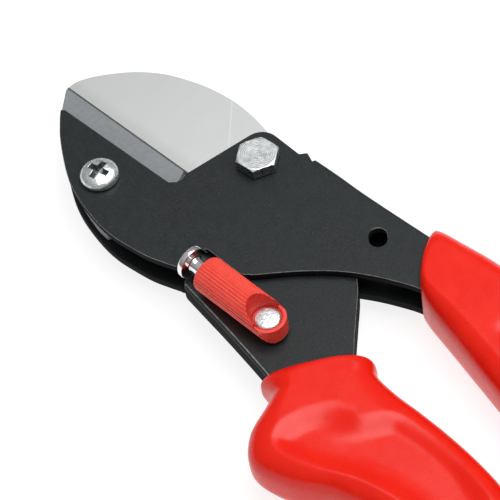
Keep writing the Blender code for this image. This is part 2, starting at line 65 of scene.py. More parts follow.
FIT = 0.3               # gap between pieces that touch
THROUGH = 20            # further from the mid-plane than any piece reaches
CUT_LEFT = -60.0        # limits of cuts that run past the tool's outline
CUT_LOW = -60.0
CUT_HIGH = 30.0
CUT_RIGHT = 150.0
UPRIGHT = 0.3           # a face whose normal rises less than this stands upright
LEVEL = 0.93            # and one whose normal rises more than this lies level
MERGE = 0.01            # points nearer than this count as one

SHEET_A = 2.0
INNER_A = 3.4
HALF_A = INNER_A + SHEET_A
FOLD_A = 1.2
TANG_END = 133.6
SHEET_B = 1.8
HALF_B = INNER_A - FIT
INNER_B = HALF_B - SHEET_B
FOLD_B = 1.3

BLADE_HALF = 1.0
# (rise from the cutting line, height) of what the two grinds cut away, front and rear
EDGE_CUTS = (((-1.0, -0.15), (1.8, 1.65), (-1.0, 3.0)), ((-1.0, 0.73), (5.2, -1.33), (-1.0, -3.0)))
JAW_SLOPE = math.radians(14.0)
HEEL = (-10.8, -15.7)    # inner end of the cutting line
JAW_LENGTH = 46.2
BLADE_MARK = (-13.7, -1.2)      # a point on the light mark
BLADE_MARK_ANGLE = math.radians(55.8)

BOLT_RADIUS = 3.0
HEX_FLATS = 10.0
HEX_HEIGHT = 3.1
HEX_TURN = math.radians(18)
BUSH_RADIUS = 4.2
PIVOT_WASHER = (6.0, 0.8)       # radius, thickness
PIVOT_NUT = (10.0, 3.2)         # across the flats, height

SCREW_AT = (-20.2, -35.0)
SCREW_RADIUS = 2.5
SCREW_HEAD = (5.0, 3.2)         # radius, height
SCREW_RIM = 0.9                 # height of the head's upright rim
SCREW_TURN = math.radians(25)
CROSS_SHADE_REACH = 3.4              # how far out the cross takes the dark zinc of painted shade
SCREW_WASHER = (5.0, 0.8)       # radius, thickness
SCREW_NUT = (8.0, 3.2)          # across the flats, height

BLADE_RIVETS = ((11.1, -1.8), (11.1, -10.8))
BLADE_RIVET_RADIUS = 2.0

SPRING_TOP = (26.0, 13.7)
SPRING_BOTTOM = (27.6, 5.9)
SPRING_RADIUS = 2.3             # of the coil's centre line
SPRING_WIRE = 0.8
SPRING_TURNS = 5.5
SEAT_THICK = 1.0

LATCH_RIVET = (44.7, -24.2)
LATCH_ANGLE = math.radians(193.5)
LATCH_AXIS_Z = 8.1
SLEEVE_RADIUS = 4.7
SLEEVE_MOUTH = 21.3
SLEEVE_FLAT_Z = 4.2
RIVET_SEAT = 8.0
LATCH_PIN_RADIUS = 1.9
LATCH_PIN_START = 12.0
LATCH_DISC = (4.4, 25.4, 27.5)  # radius, inner face, outer face
LATCH_RIVET_RADIUS = 2.0
LATCH_RIVET_HEAD = (3.35, 1.0)  # radius, height

GRIP_HALF = 9.0
GRIP_FLAT = 8.4
GRIP_POCKET = 0.3

HOLE_AT = (38.0, 11.3)
HOLE_RADIUS = 2.3
HOLE_STRETCH = 0.55      # half the distance between the centres of its two round ends
HOLE_ANGLE = math.radians(153)

LATCH = TOOL @ Matrix.Translation((*LATCH_RIVET, 0.0)) @ Matrix.Rotation(LATCH_ANGLE, 4, "Z")


# ---------------------------------------------------------------- outlines

def smooth(points, steps=8, closed=False):
    """Points along a smooth curve through the given points."""
    count = len(points)
    curve = []
    for i in range(count if closed else count - 1):
        if closed:
            before, start, end, after = (Vector(points[(i + k) % count]) for k in (-1, 0, 1, 2))
        else:
            before, start, end, after = (Vector(points[min(max(i + k, 0), count - 1)])
                                         for k in (-1, 0, 1, 2))
        for k in range(steps):
            t = k / steps
            curve.append(0.5 * ((2 * start) + (end - before) * t
                                + (2 * before - 5 * start + 4 * end - after) * t ** 2
                                + (3 * start - before - 3 * end + after) * t ** 3))
    if not closed:
        curve.append(Vector(points[-1]))
    return [(p.x, p.y) for p in curve]


def rounded(corners, segments=8):
    """Closed outline through (x, y) points; a third number rounds that corner to a radius."""
    outline = []
    count = len(corners)
    for i, corner in enumerate(corners):
        here = Vector(corner[:2])
        radius = corner[2] if len(corner) > 2 else 0.0
        if radius == 0.0:
            outline.append((here.x, here.y))
            continue
        back = (Vector(corners[i - 1][:2]) - here).normalized()
        ahead = (Vector(corners[(i + 1) % count][:2]) - here).normalized()
        half_angle = back.angle(ahead) / 2
        middle = here + (back + ahead).normalized() * (radius / math.sin(half_angle))
        first = here + back * (radius / math.tan(half_angle)) - middle
        last = here + ahead * (radius / math.tan(half_angle)) - middle
        for k in range(segments + 1):
            step = first.lerp(last, k / segments).normalized() * radius
            outline.append((middle.x + step.x, middle.y + step.y))
    return outline


def shifted(path, distance):
    """An open path moved sideways, to its left where distance is positive."""
    result = []
    for i, point in enumerate(path):
        before = Vector(path[max(i - 1, 0)])
        after = Vector(path[min(i + 1, len(path) - 1)])
        along = (after - before).normalized()
        result.append((point[0] - along.y * distance, point[1] + along.x * distance))
    return result


def circle(x, y, radius, count=64):
    turn = 2 * math.pi / count
    return [(x + radius * math.cos(turn * k), y + radius * math.sin(turn * k)) for k in range(count)]


# ---------------------------------------------------------------- meshes

def prism(outline, low, high):
    """A closed solid: the outline, from one height to the other."""
    shape = bmesh.new()
    base = shape.faces.new([shape.verts.new((x, y, low)) for x, y in outline])
    grown = bmesh.ops.extrude_face_region(shape, geom=[base])
    top = [v for v in grown["geom"] if isinstance(v, bmesh.types.BMVert)]
    bmesh.ops.translate(shape, verts=top, vec=(0, 0, high - low))
    bmesh.ops.recalc_face_normals(shape, faces=shape.faces[:])
    return shape


def skin(rings):
    """A closed solid over rings of points, with a flat cap on the first and the last."""
    shape = bmesh.new()
    loops = [[shape.verts.new(p) for p in ring] for ring in rings]
    count = len(loops[0])
    for one, two in zip(loops, loops[1:]):
        for k in range(count):
            shape.faces.new((one[k], one[(k + 1) % count], two[(k + 1) % count], two[k]))
    shape.faces.new(loops[0][::-1])
    shape.faces.new(loops[-1])
    bmesh.ops.recalc_face_normals(shape, faces=shape.faces[:])
    return shape


def turned(profile, count=64):
    """A solid turned about Z from (radius, height) points that run from one end to the other."""
    return skin([[(x, y, height) for x, y in circle(0, 0, radius, count)] for radius, height in profile])


def moved(shape, x=0.0, y=0.0, z=0.0):
    bmesh.ops.translate(shape, verts=shape.verts, vec=(x, y, z))
    return shape


def spun(shape, angle, axis="Z"):
    bmesh.ops.rotate(shape, verts=shape.verts, matrix=Matrix.Rotation(angle, 3, axis))
    return shape


def along_x(shape):
    """Turns a shape made about Z so that its +Z runs along +X."""
    return spun(shape, math.pi / 2, "Y")


def round_edges(shape, chosen, radius, segments):
    """Rounds the level edges whose two ends are both chosen."""
    edges = []
    for edge in shape.edges:
        one, two = (v.co for v in edge.verts)
        if abs(one.z - two.z) < MERGE and chosen(one) and chosen(two):
            edges.append(edge)
    bmesh.ops.bevel(shape, geom=edges, offset=radius, segments=segments, profile=0.5,
                    affect="EDGES", clamp_overlap=False)
    return shape


def near_path(path, height):
    """Tells whether a point lies on a path's points at plus or minus a height."""
    def test(co):
        on_level = abs(abs(co.z) - height) < MERGE
        return on_level and any((co.x - x) ** 2 + (co.y - y) ** 2 < 0.0004 for x, y in path)
    return test


# ---------------------------------------------------------------- objects

def draft(shape):
    """An object still in its drawing frame, in millimetres."""
    mesh = bpy.data.meshes.new("draft")
    shape.to_mesh(mesh)
    shape.free()
    item = bpy.data.objects.new("draft", mesh)
    bpy.context.scene.collection.objects.link(item)
    return item


def settle(item):
    """Applies an object's modifiers."""
    graph = bpy.context.evaluated_depsgraph_get()
    mesh = bpy.data.meshes.new_from_object(item.evaluated_get(graph))
    item.modifiers.clear()
    item.data = mesh


def combine(item, shape, operation="DIFFERENCE"):
    guide = draft(shape)
    step = item.modifiers.new("combine", "BOOLEAN")
    step.operation = operation
    step.object = guide
    settle(item)
    bpy.data.objects.remove(guide)


def drill(item, at, radius, low, high):
    combine(item, prism(circle(*at, radius), low, high))


def soften(item, width, segments=3, angle=35.0):
    """Rounds every edge that is sharper than an angle."""
    tidy = item.modifiers.new("tidy", "WELD")
    tidy.merge_threshold = MERGE
    step = item.modifiers.new("soften", "BEVEL")
    step.use_clamp_overlap = False
    step.width = width
    step.segments = segments
    step.limit_method = "ANGLE"
    step.angle_limit = math.radians(angle)
    settle(item)


def finished(name, item, place, body, slot, finish, *replaced, sharp=40.0, weighted=True):
    """Puts a draft in the frame and gives it its name, body and material; its slot is not used."""
    if isinstance(item, bmesh.types.BMesh):
        item = draft(item)
    item.name = name
    item.data.name = name
    item.data.transform(place)
    item.data.shade_smooth()
    item.data.set_sharp_from_angle(angle=math.radians(sharp))
    if weighted:
        step = item.modifiers.new("flat_faces", "WEIGHTED_NORMAL")
        step.keep_sharp = True
        settle(item)
    item.data.materials.clear()
    item.data.materials.append(finish)
    if replaced:
        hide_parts(*replaced)
    if body is not None:
        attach(item, body)
    return item


# ---------------------------------------------------------------- materials

class Finish:
    """A Principled material and the nodes that feed it."""

    def __init__(self, name, colour, roughness, metallic=0.0, **sockets):
        self.material = bpy.data.materials.new(name)
        self.material.use_nodes = True
        self.tree = self.material.node_tree
        self.shader = self.tree.nodes["Principled BSDF"]
        self.colour = colour
        self.shader.inputs["Base Color"].default_value = (*colour, 1.0)
        self.shader.inputs["Roughness"].default_value = roughness
        self.shader.inputs["Metallic"].default_value = metallic
        for socket, value in sockets.items():
            self.shader.inputs[socket.replace("_", " ")].default_value = value
        self.place = self.add("ShaderNodeTexCoord").outputs["Object"]
        self.normal = None

    def add(self, kind, **inputs):
        """A node with its inputs set to values or linked to other nodes' outputs."""
        node = self.tree.nodes.new(kind)
        for name, value in inputs.items():
            socket = node.inputs[name.replace("_", " ")]
            if isinstance(value, bpy.types.NodeSocket):
                self.tree.links.new(value, socket)
            else:
                socket.default_value = value
        return node

    def noise(self, size, detail=3.0, stretch=None):
        """Noise from 0 to 1 whose features are about size millimetres."""
        place = self.place
        if stretch is not None:
            angle, length = stretch
            turn = self.add("ShaderNodeMapping", Vector=place)
            turn.inputs["Rotation"].default_value = (0.0, 0.0, -angle)
            squeeze = self.add("ShaderNodeMapping", Vector=turn.outputs["Vector"])
            squeeze.inputs["Scale"].default_value = (size / length, 1.0, 1.0)
            place = squeeze.outputs["Vector"]
        node = self.add("ShaderNodeTexNoise", Vector=place, Scale=1 / (size * MM), Detail=detail)
        return node.outputs["Fac"]

    def rings(self, centre, spacing):
        """Uneven rings from 0 to 1 about an upright axis, a spacing in millimetres apart."""
        shift = self.add("ShaderNodeMapping", Vector=self.place)
        shift.inputs["Location"].default_value = -centre
        wave = self.add("ShaderNodeTexWave", Vector=shift.outputs["Vector"],
                        Scale=math.pi / (10 * spacing * MM), Distortion=2.5, Detail=2.0)
        wave.wave_type = "RINGS"
        wave.rings_direction = "Z"
        return wave.outputs["Fac"]

    def calculate(self, operation, one, two=0.0):
        node = self.tree.nodes.new("ShaderNodeMath")
        node.operation = operation
        for socket, value in zip(node.inputs, (one, two)):
            if isinstance(value, bpy.types.NodeSocket):
                self.tree.links.new(value, socket)
            else:
                socket.default_value = value
        return node.outputs["Value"]

    def across(self, point, angle):
        """Millimetres from a line through a drawing point, towards an angle square to it."""
        toward = Vector((math.cos(angle), math.sin(angle), 0.0))
        node = self.tree.nodes.new("ShaderNodeVectorMath")
        node.operation = "DOT_PRODUCT"
        self.tree.links.new(self.place, node.inputs[0])
        node.inputs[1].default_value = toward / MM
        start = (TOOL @ Vector((*point, 0.0))).dot(toward) / MM
        return self.calculate("SUBTRACT", node.outputs["Value"], start)

    def between(self, factor, low, high, start=0.3, end=0.7):
        """A number that goes from low to high as the factor goes from start to end."""
        node = self.add("ShaderNodeMapRange", Value=factor, From_Min=start, From_Max=end,
                        To_Min=low, To_Max=high)
        return node.outputs["Result"]

    def tint(self, factor, colour, amount=1.0):
        """Mixes a colour into the base colour where the factor is high."""
        mix = self.tree.nodes.new("ShaderNodeMix")
        mix.data_type = "RGBA"
        source = self.shader.inputs["Base Color"]
        if source.is_linked:
            self.tree.links.new(source.links[0].from_socket, mix.inputs[6])
        else:
            mix.inputs[6].default_value = source.default_value[:]
        mix.inputs[7].default_value = (*colour, 1.0)
        self.tree.links.new(self.between(factor, 0.0, amount), mix.inputs[0])
        self.tree.links.new(mix.outputs[2], source)

    def rough(self, factor, low, high):
        self.tree.links.new(self.between(factor, low, high), self.shader.inputs["Roughness"])

    def bump(self, height, depth, strength=1.0):
        """Adds relief of a depth in millimetres."""
        node = self.add("ShaderNodeBump", Height=height, Distance=depth * MM, Strength=strength)
        if self.normal is not None:
            self.tree.links.new(self.normal, node.inputs["Normal"])
        self.normal = node.outputs["Normal"]
        self.tree.links.new(self.normal, self.shader.inputs["Normal"])


def black_paint():
    finish = Finish("black_paint", (0.007, 0.009, 0.010), 0.4, Specular_IOR_Level=0.34)
    finish.tint(finish.noise(0.5, 4.0), (0.020, 0.024, 0.025), 0.9)
    finish.tint(finish.noise(14.0, 2.0), (0.013, 0.017, 0.018), 0.6)
    specks = finish.between(finish.noise(0.9, 2.0), 0.0, 1.0, 0.72, 0.80)
    finish.tint(specks, (0.07, 0.075, 0.075), 0.7)
    finish.rough(finish.noise(2.5), 0.34, 0.46)
    finish.bump(finish.noise(0.55, 4.0), 0.045)
    return finish.material


def rim_painted_highlight():
    """Lighter paint on a sheet's rounded rims: a painted highlight where they catch light."""
    finish = Finish("rim_painted_highlight", (0.10, 0.105, 0.105), 0.42)
    finish.tint(finish.noise(0.8, 4.0), (0.30, 0.31, 0.31), 0.8)
    finish.rough(finish.noise(2.5), 0.36, 0.48)
    finish.bump(finish.noise(0.45, 4.0), 0.01)
    return finish.material


def dull_paint_and_shade():
    """The thin, dull paint on a sheet's sheared edge and other upright faces, its colour a little darker
    than the faces' paint as painted shade where they turn from the light.
    """
    finish = Finish("dull_paint_and_shade", (0.006, 0.007, 0.008), 0.85, Specular_IOR_Level=0.12)
    finish.tint(finish.noise(0.6, 4.0), (0.014, 0.016, 0.017), 0.8)
    finish.bump(finish.noise(0.5, 4.0), 0.03)
    return finish.material


def blade_steel():
    """Ground steel with one light mark across it, and painted shade along its cutting line: a soft darker
    band over the grind and a dark line as the painted shadow beside the anvil.
    """
    finish = Finish("blade_steel", (0.675, 0.695, 0.69), 0.55, 1.0)
    lines = finish.noise(0.12, 4.0, stretch=(JAW_SLOPE + math.pi / 2, 14.0))
    finish.tint(lines, (0.73, 0.745, 0.74), 0.6)
    finish.rough(lines, 0.50, 0.62)
    finish.bump(lines, 0.004)
    rise = finish.across(HEEL, JAW_SLOPE + math.pi / 2)
    # painted shade: a soft darker band over the grind's slope near the cutting line
    finish.tint(finish.between(rise, 1.0, 0.0, 0.0, 7.0), (0.60, 0.605, 0.59), 0.6)
    # painted shadow: a dark line where the anvil's edge shades the blade
    finish.tint(finish.between(rise, 1.0, 0.0, 0.95, 1.15), (0.15, 0.155, 0.16), 0.95)
    mark = finish.across(BLADE_MARK, BLADE_MARK_ANGLE)
    near_mark = finish.between(finish.calculate("ABSOLUTE", mark), 1.0, 0.0, 0.1, 0.3)
    finish.tint(near_mark, (0.84, 0.85, 0.85), 0.5)
    return finish.material


def anvil_plastic():
    finish = Finish("anvil_plastic", (0.200, 0.214, 0.228), 0.5)
    finish.tint(finish.noise(1.2, 5.0), (0.25, 0.265, 0.28), 0.7)
    finish.bump(finish.noise(0.35, 3.0), 0.02)
    return finish.material


def zinc_plate(name, dents=0.05, centre=None):
    """Bright zinc, dented by some depth; with a centre, it also shows the rings left by turning."""
    finish = Finish(name, (0.94, 0.97, 0.965), 0.34, 1.0)
    finish.tint(finish.noise(0.9, 4.0), (0.72, 0.76, 0.77), 0.7)
    finish.rough(finish.noise(1.4), 0.26, 0.44)
    finish.bump(finish.noise(0.9, 4.0), dents)
    if centre is not None:
        rings = finish.rings(centre, 0.55)
        finish.tint(rings, (0.74, 0.79, 0.79), 0.55)
        finish.bump(rings, 0.015)
    return finish.material


def zinc_painted_shade():
    """Dark, dull zinc that is painted shade: on upright faces and in the screw's cross."""
    finish = Finish("zinc_painted_shade", (0.09, 0.095, 0.10), 0.5, 1.0)
    finish.tint(finish.noise(0.9, 4.0), (0.50, 0.54, 0.55), 0.8)
    finish.bump(finish.noise(0.5, 4.0), 0.05)
    return finish.material


def chrome_plate():
    finish = Finish("chrome_plate", (0.86, 0.87, 0.88), 0.08, 1.0)
    finish.rough(finish.noise(1.0), 0.05, 0.14)
    finish.bump(finish.noise(0.8), 0.004)
    return finish.material


def spring_steel():
    finish = Finish("spring_steel", (0.42, 0.42, 0.43), 0.35, 1.0)
    finish.tint(finish.noise(0.5), (0.25, 0.25, 0.27), 0.7)
    finish.bump(finish.noise(0.2), 0.01)
    return finish.material


def red_pvc():
    finish = Finish("red_pvc", (0.77, 0.009, 0.001), 0.27, Specular_IOR_Level=0.33)
    finish.tint(finish.noise(9.0, 2.0), (0.82, 0.014, 0.003), 0.8)
    finish.rough(finish.noise(3.0), 0.24, 0.31)
    finish.bump(finish.noise(5.0, 2.0), 0.05)
    finish.bump(finish.noise(0.5, 3.0), 0.006)
    return finish.material


def latch_plastic():
    finish = Finish("latch_plastic", (0.80, 0.056, 0.034), 0.36)
    finish.tint(finish.noise(1.5), (0.88, 0.080, 0.052), 0.7)
    finish.bump(finish.noise(0.4), 0.01)
    return finish.material


def latch_hollow_shade():
    """The latch's moulded hollow, painted a deeper red than its ribs as painted shade."""
    finish = Finish("latch_hollow_shade", (0.52, 0.012, 0.006), 0.42)
    finish.tint(finish.noise(1.2), (0.64, 0.022, 0.012), 0.8)
    finish.bump(finish.noise(0.4), 0.02)
    return finish.material


def black_nylon():
    finish = Finish("black_nylon", (0.02, 0.02, 0.022), 0.5)
    finish.tint(finish.noise(0.8), (0.035, 0.035, 0.038), 0.8)
    finish.bump(finish.noise(0.3), 0.015)
    return finish.material


PAINT = black_paint()
RIM_HIGHLIGHT = rim_painted_highlight()
DULL_SHADE = dull_paint_and_shade()
STEEL = blade_steel()
ANVIL = anvil_plastic()
ZINC = zinc_plate("zinc_plate")
ZINC_SHADE = zinc_painted_shade()
ZINC_BOLT = zinc_plate("zinc_bolt", 0.03, PIVOT)
ZINC_DENTED = zinc_plate("zinc_dented", 0.12)
CHROME = chrome_plate()
SPRING = spring_steel()
RED = red_pvc()
LATCH_RED = latch_plastic()
LATCH_HOLLOW_SHADE = latch_hollow_shade()
NYLON = black_nylon()


# ---------------------------------------------------------------- anvil side

SPINE_A = [(4.8, 11.6)] + smooth([(7.6, 12.3), (15.6, 14.3), (25.6, 16.6), (45.0, 21.8), (57.6, 25.3),
                                  (71.6, 28.1), (87.6, 29.7), (109.6, 29.3), (TANG_END, 25.7)])
BELLY_A = smooth([(-46.5, -32.5), (-44.4, -33.8), (-41.7, -35.3), (-38.4, -37.0),
                  (-32.7, -39.3), (-26.4, -41.4), (-20.4, -42.6),
                  (-14.4, -42.95), (-7.4, -42.65), (-2.1, -41.75), (2.3, -40.35), (8.6, -37.9),
                  (13.3, -35.25), (16.2, -33.4)])
THROAT_A = smooth([(29.9, -18.9), (33.1, -13.3), (36.4, -8.1), (41.0, -2.05), (46.0, 2.9), (51.1, 7.0),
                   (57.1, 10.9), (63.6, 12.9), (77.6, 13.6), (105.6, 13.9), (TANG_END, 13.3)])


def hole_outline():
    """A round hole stretched a little along its own direction."""
    half_turn = math.pi / 24
    outline = []
    for end in (0, 1):
        turn = HOLE_ANGLE + math.pi * end
        for k in range(24 + 1):
            angle = turn - math.pi / 2 + half_turn * k
            outline.append((HOLE_AT[0] + HOLE_STRETCH * math.cos(turn) + HOLE_RADIUS * math.cos(angle),
                            HOLE_AT[1] + HOLE_STRETCH * math.sin(turn) + HOLE_RADIUS * math.sin(angle)))
    return outline


def sheet_finishes(item, takes_highlight):
    """Gives a sheet's sheared edges a dull paint, a little darker as painted shade, and its rims a painted
    highlight where a test says so.
    """
    item.data.materials.append(DULL_SHADE)
    item.data.materials.append(RIM_HIGHLIGHT)
    for face in item.data.polygons:
        rise = abs(face.normal.z)
        # upright faces take the dull paint, its darker colour painted shade
        if rise < UPRIGHT:
            face.material_index = 1
        # rims that pass the test take the lighter rim paint, a painted highlight
        elif rise < LEVEL and takes_highlight(TOOL.inverted() @ face.center, face.normal):
            face.material_index = 2


def anvil_lever():
    corners = [(-45.7, -31.5, 0.4)]
    corners += BELLY_A[:-1]
    corners += [(16.2, -33.4, 0.5), (15.2, -24.7, 1.4), (27.6, -21.8, 2.2)]
    corners += THROAT_A
    corners += SPINE_A[::-1]
    corners += [(3.8, 9.7), (-9.3, 7.2, 5.0), (-8.0, -16.7, 0.6), (-6.7, -19.3, 1.6), (-8.3, -21.7, 0.8)]
    shape = prism(rounded(corners), -HALF_A, HALF_A)
    round_edges(shape, near_path(SPINE_A[1:], HALF_A), FOLD_A, 6)
    lever = draft(shape)
    inner_spine = shifted(SPINE_A[1:], -SHEET_A)
    slot = [(CUT_LEFT, CUT_LOW), (CUT_RIGHT, CUT_LOW), (CUT_RIGHT, inner_spine[-1][1])]
    slot += inner_spine[::-1] + [(3.9, 8.3), (3.9, CUT_HIGH), (CUT_LEFT, CUT_HIGH)]
    combine(lever, prism(slot, -INNER_A, INNER_A))
    drill(lever, (0.0, 0.0), BOLT_RADIUS + FIT, -THROUGH, THROUGH)
    drill(lever, SCREW_AT, SCREW_RADIUS + FIT, -THROUGH, THROUGH)
    combine(lever, prism(hole_outline(), 0, THROUGH))
    soften(lever, 0.3, 3)
    finished("anvil_lever_sheet", lever, TOOL, "anvil_side", "black_paint", PAINT, "anvil_lever")

    # front rims facing -y and the fold's slope take the painted highlight
    def takes_highlight(at, normal):
        front = at.z > INNER_A - 0.2
        heel = -12.0 < at.x < -4.0 and at.y > -24.0
        fold = at.x > 5.0 and normal.y > 0.3 and at.z > 0.0
        return (fold and abs(normal.z) < 0.7) or (front and not heel and normal.y < 0.0)

    sheet_finishes(lever, takes_highlight)


def on_jaw_line(distance, drop=0.0):
    """A point on the cutting line, measured from its heel, and a drop square to it."""
    along = Vector((-math.cos(JAW_SLOPE), -math.sin(JAW_SLOPE)))
    down = Vector((math.sin(JAW_SLOPE), -math.cos(JAW_SLOPE)))
    point = Vector(HEEL) + along * distance + down * drop
    return (point.x, point.y)


def anvil():
    corners = [(*on_jaw_line(0.3, FIT), 0.4), (*on_jaw_line(JAW_LENGTH - 1.2, FIT), 0.5),
               (-48.4, -31.5, 0.8), (-45.8, -33.3, 0.8)]
    corners += smooth([(-38.4, -36.1), (-26.4, -40.3), (-19.8, -41.5), (-13.6, -41.8), (-10.4, -41.7)])
    corners += [(-7.4, -41.2, 0.8), (-8.9, -18.7, 2.4)]
    block = draft(prism(rounded(corners[::-1]), -HALF_B, HALF_B))
    drill(block, SCREW_AT, SCREW_RADIUS + FIT, -THROUGH, THROUGH)
    soften(block, 0.35, 4)
    finished("anvil_block", block, TOOL, "anvil_side", "anvil_plastic", ANVIL, "anvil")


def cross(arm, half_width, height):
    """A ring of points round a cross recess."""
    corners = [(arm, half_width), (half_width, half_width), (half_width, arm)]
    ring = []
    for quarter in range(4):
        turn = Matrix.Rotation(quarter * math.pi / 2, 2)
        ring += [(*(turn @ Vector(c)), height) for c in corners]
    return ring


def anvil_screw():
    seat = HALF_A + FIT
    radius, height = SCREW_HEAD
    top = seat + height
    profile = [(SCREW_RADIUS - 0.4, LOWEST_Z), (SCREW_RADIUS, LOWEST_Z + 0.4), (SCREW_RADIUS, seat)]
    profile += [(radius - 0.2, seat), (radius, seat + 0.2), (radius, seat + SCREW_RIM)]
    profile += [(radius * math.cos(a), seat + SCREW_RIM + (height - SCREW_RIM) * math.sin(a))
                for a in (math.pi / 2 * k / 12 for k in range(1, 12))]
    profile.append((0.05, top))
    screw = draft(turned(profile))
    recess = spun(skin([cross(1.9, 0.55, top - 2.2), cross(3.15, 0.85, top), cross(3.7, 1.0, top + 1.0)]),
                  SCREW_TURN)
    combine(screw, recess)
    soften(screw, 0.1, 2, 30.0)
    place = TOOL @ Matrix.Translation((*SCREW_AT, 0.0))
    finished("anvil_pan_screw", screw, place, "anvil_side", "zinc_plate", ZINC_DENTED, "anvil_screw")
    screw.data.materials.append(ZINC_SHADE)
    # faces sunk into the cross take the dark zinc, painted shade
    for face in screw.data.polygons:
        centre = place.inverted() @ face.center
        reach = math.hypot(centre.x, centre.y)
        if reach < CROSS_SHADE_REACH:
            dome = (height - SCREW_RIM) * math.sqrt(1 - (reach / radius) ** 2)
            surface = seat + SCREW_RIM + dome
            if centre.z < surface - 0.12 and centre.z > seat - 0.5:
                face.material_index = 1


def hexagon_head(flats, low, high, chamfer_low, chamfer_high):
    """A hexagon whose corners are turned down at the ends that have a chamfer."""
    item = draft(prism(circle(0, 0, flats / math.sqrt(3), 6), low, high))
    wide = flats * 0.62
    near = flats / 2 * 1.01
    slope = math.tan(math.radians(30))
    profile = []
    if chamfer_low:
        profile += [(near, low - 0.001), (wide, low + (wide - near) * slope)]
    else:
        profile += [(wide, low - 1.0)]
    if chamfer_high:
        profile += [(wide, high - (wide - near) * slope), (near, high + 0.001)]
    else:
        profile += [(wide, high + 1.0)]
    combine(item, turned(profile, 96), "INTERSECT")
    return item


def pivot_bolt():
    seat = HALF_A + FIT
    bolt = hexagon_head(HEX_FLATS, seat, seat + HEX_HEIGHT, False, True)
    bolt.data.transform(Matrix.Rotation(HEX_TURN, 4, "Z"))
    shank = [(BOLT_RADIUS - 0.4, LOWEST_Z), (BOLT_RADIUS, LOWEST_Z + 0.4), (BOLT_RADIUS, seat + 1.0)]
    combine(bolt, turned(shank), "UNION")
    soften(bolt, 0.12, 2, 25.0)
    finished("pivot_hex_bolt", bolt, TOOL, "anvil_side", "zinc_plate", ZINC_BOLT, "pivot_bolt")
    bolt.data.materials.append(ZINC_SHADE)
    # the hex's upright faces take the dark zinc, painted shade
    for face in bolt.data.polygons:
        if abs(face.normal.z) < UPRIGHT:
            face.material_index = 1


def hex_nut(name, at, size, bolt_radius, washer, replaced):
    flats, height = size
    top = -HALF_A - FIT - washer[1] - FIT
    low = top - height
    nut = hexagon_head(flats, low, top, True, True)
    bore = bolt_radius + FIT
    combine(nut, turned([(bore + 0.7, low - 0.1), (bore, low + 0.6), (bore, top - 0.6),
                         (bore + 0.7, top + 0.1)]))
    soften(nut, 0.12, 2, 25.0)
    place = TOOL @ Matrix.Translation((*at, 0.0))
    finished(name, nut, place, "anvil_side", "zinc_plate", ZINC, replaced)


def spring_axis():
    top = Vector((*SPRING_TOP, 0.0))
    bottom = Vector((*SPRING_BOTTOM, 0.0))
    return top, bottom, (bottom - top).normalized()


def return_spring():
    """A wire helix with closed ends, between the two levers."""
    top, bottom, along = spring_axis()
    length = (bottom - top).length - 2 * (SEAT_THICK + FIT) - SPRING_WIRE
    per_turn = 28
    closed = 0.75
    free = SPRING_TURNS - 2 * closed
    rings = []
    for k in range(int(SPRING_TURNS * per_turn) + 1):
        turns = k / per_turn
        rise = min(max(turns - closed, 0.0), free) / free
        angle = 2 * math.pi * turns
        out = Vector((math.cos(angle), math.sin(angle), 0.0))
        centre = out * SPRING_RADIUS + Vector((0, 0, length * rise))
        rings.append([centre + out * (math.cos(a) * SPRING_WIRE / 2)
                      + Vector((0, 0, math.sin(a) * SPRING_WIRE / 2))
                      for a in (2 * math.pi * side / 12 for side in range(12))])
    turn = Vector((0, 0, 1)).rotation_difference(along).to_matrix().to_4x4()
    start = top + along * (SEAT_THICK + FIT + SPRING_WIRE / 2)
    place = TOOL @ Matrix.Translation(start) @ turn
    spring = finished("return_spring_coil", skin(rings), place, None, "spring_steel", SPRING,
                      "return_spring", weighted=False)
    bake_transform(spring)


# ---------------------------------------------------------------- blade side

SPINE_B = smooth([(20.6, -34.4), (28.6, -33.7), (37.6, -32.9), (47.6, -32.2), (55.6, -31.8), (65.6, -31.6),
                  (79.6, -28.9), (97.6, -25.9), (115.6, -24.5), (TANG_END, -23.9)])
TOP_B = smooth([(TANG_END, -10.1), (109.6, -9.1), (87.6, -10.5), (73.6, -12.9), (65.6, -13.1),
                (60.1, -10.0), (53.4, -5.2), (45.2, 0.5), (37.6, 3.0), (27.6, 4.1), (13.6, 5.3),
                (3.5, 6.0)])
BACK_B = smooth([(-6.2, -1.6), (-6.6, -5.7), (-5.0, -11.7), (-0.6, -17.9), (8.6, -26.5), (18.0, -32.3)])
PIVOT_B = 6.3


def blade_lever():
    around = [(PIVOT_B * math.cos(a), PIVOT_B * math.sin(a))
              for a in (math.radians(70 + 115 * k / 20) for k in range(1, 20))]
    shape = prism(SPINE_B + TOP_B + around + BACK_B, -HALF_B, HALF_B)
    round_edges(shape, near_path(SPINE_B, HALF_B), FOLD_B, 5)
    lever = draft(shape)
    inner_spine = shifted(SPINE_B, SHEET_B)
    left = -20.0            # past the lever's rounded end
    slot = [(left, CUT_LOW), (inner_spine[0][0] - 1.0, CUT_LOW)] + inner_spine
    slot += [(CUT_RIGHT, inner_spine[-1][1]), (CUT_RIGHT, CUT_HIGH), (left, CUT_HIGH)]
    combine(lever, prism(slot, -INNER_B, INNER_B))
    drill(lever, (0.0, 0.0), BUSH_RADIUS + FIT, -THROUGH, THROUGH)
    for at in BLADE_RIVETS:
        drill(lever, at, BLADE_RIVET_RADIUS + FIT, -THROUGH, THROUGH)
    drill(lever, LATCH_RIVET, LATCH_RIVET_RADIUS + FIT, -THROUGH, THROUGH)
    soften(lever, 0.3, 3)
    finished("blade_lever_sheet", lever, TOOL, "blade_side", "black_paint", PAINT, "blade_lever")
    # its front rims and the spine's fold take the painted highlight
    sheet_finishes(lever, lambda at, normal: at.z > 0.0 and (normal.y > -0.4 or abs(normal.z) > 0.85))


